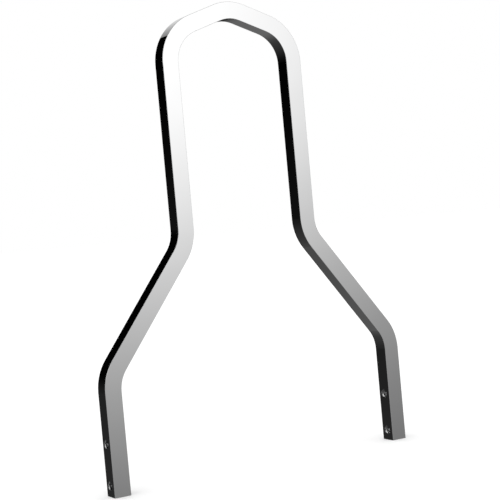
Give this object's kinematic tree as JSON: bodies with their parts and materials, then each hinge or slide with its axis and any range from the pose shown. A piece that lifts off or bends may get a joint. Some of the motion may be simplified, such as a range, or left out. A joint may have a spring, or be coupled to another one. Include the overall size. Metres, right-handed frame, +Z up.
{
  "type": "sissy bar",
  "caption": "Square steel bar bent into a tall hoop with a pointed top, flared waist and drilled legs, bolted behind a motorbike seat as a passenger's backrest.",
  "frame": {"origin": "on the floor of the two cut feet, midway between the legs and in the middle of the bar's depth", "axes": "+Z up towards the pointed top, +X from one leg to the other, -Y out of the face that the picture shows"},
  "size_m": [0.2576, 0.0126, 0.3516],
  "materials": {
    "chrome_plate": "polished"
  },
  "bodies": {
    "root": {"hoop_bar": "chrome_plate"}
  },
  "joints": []
}
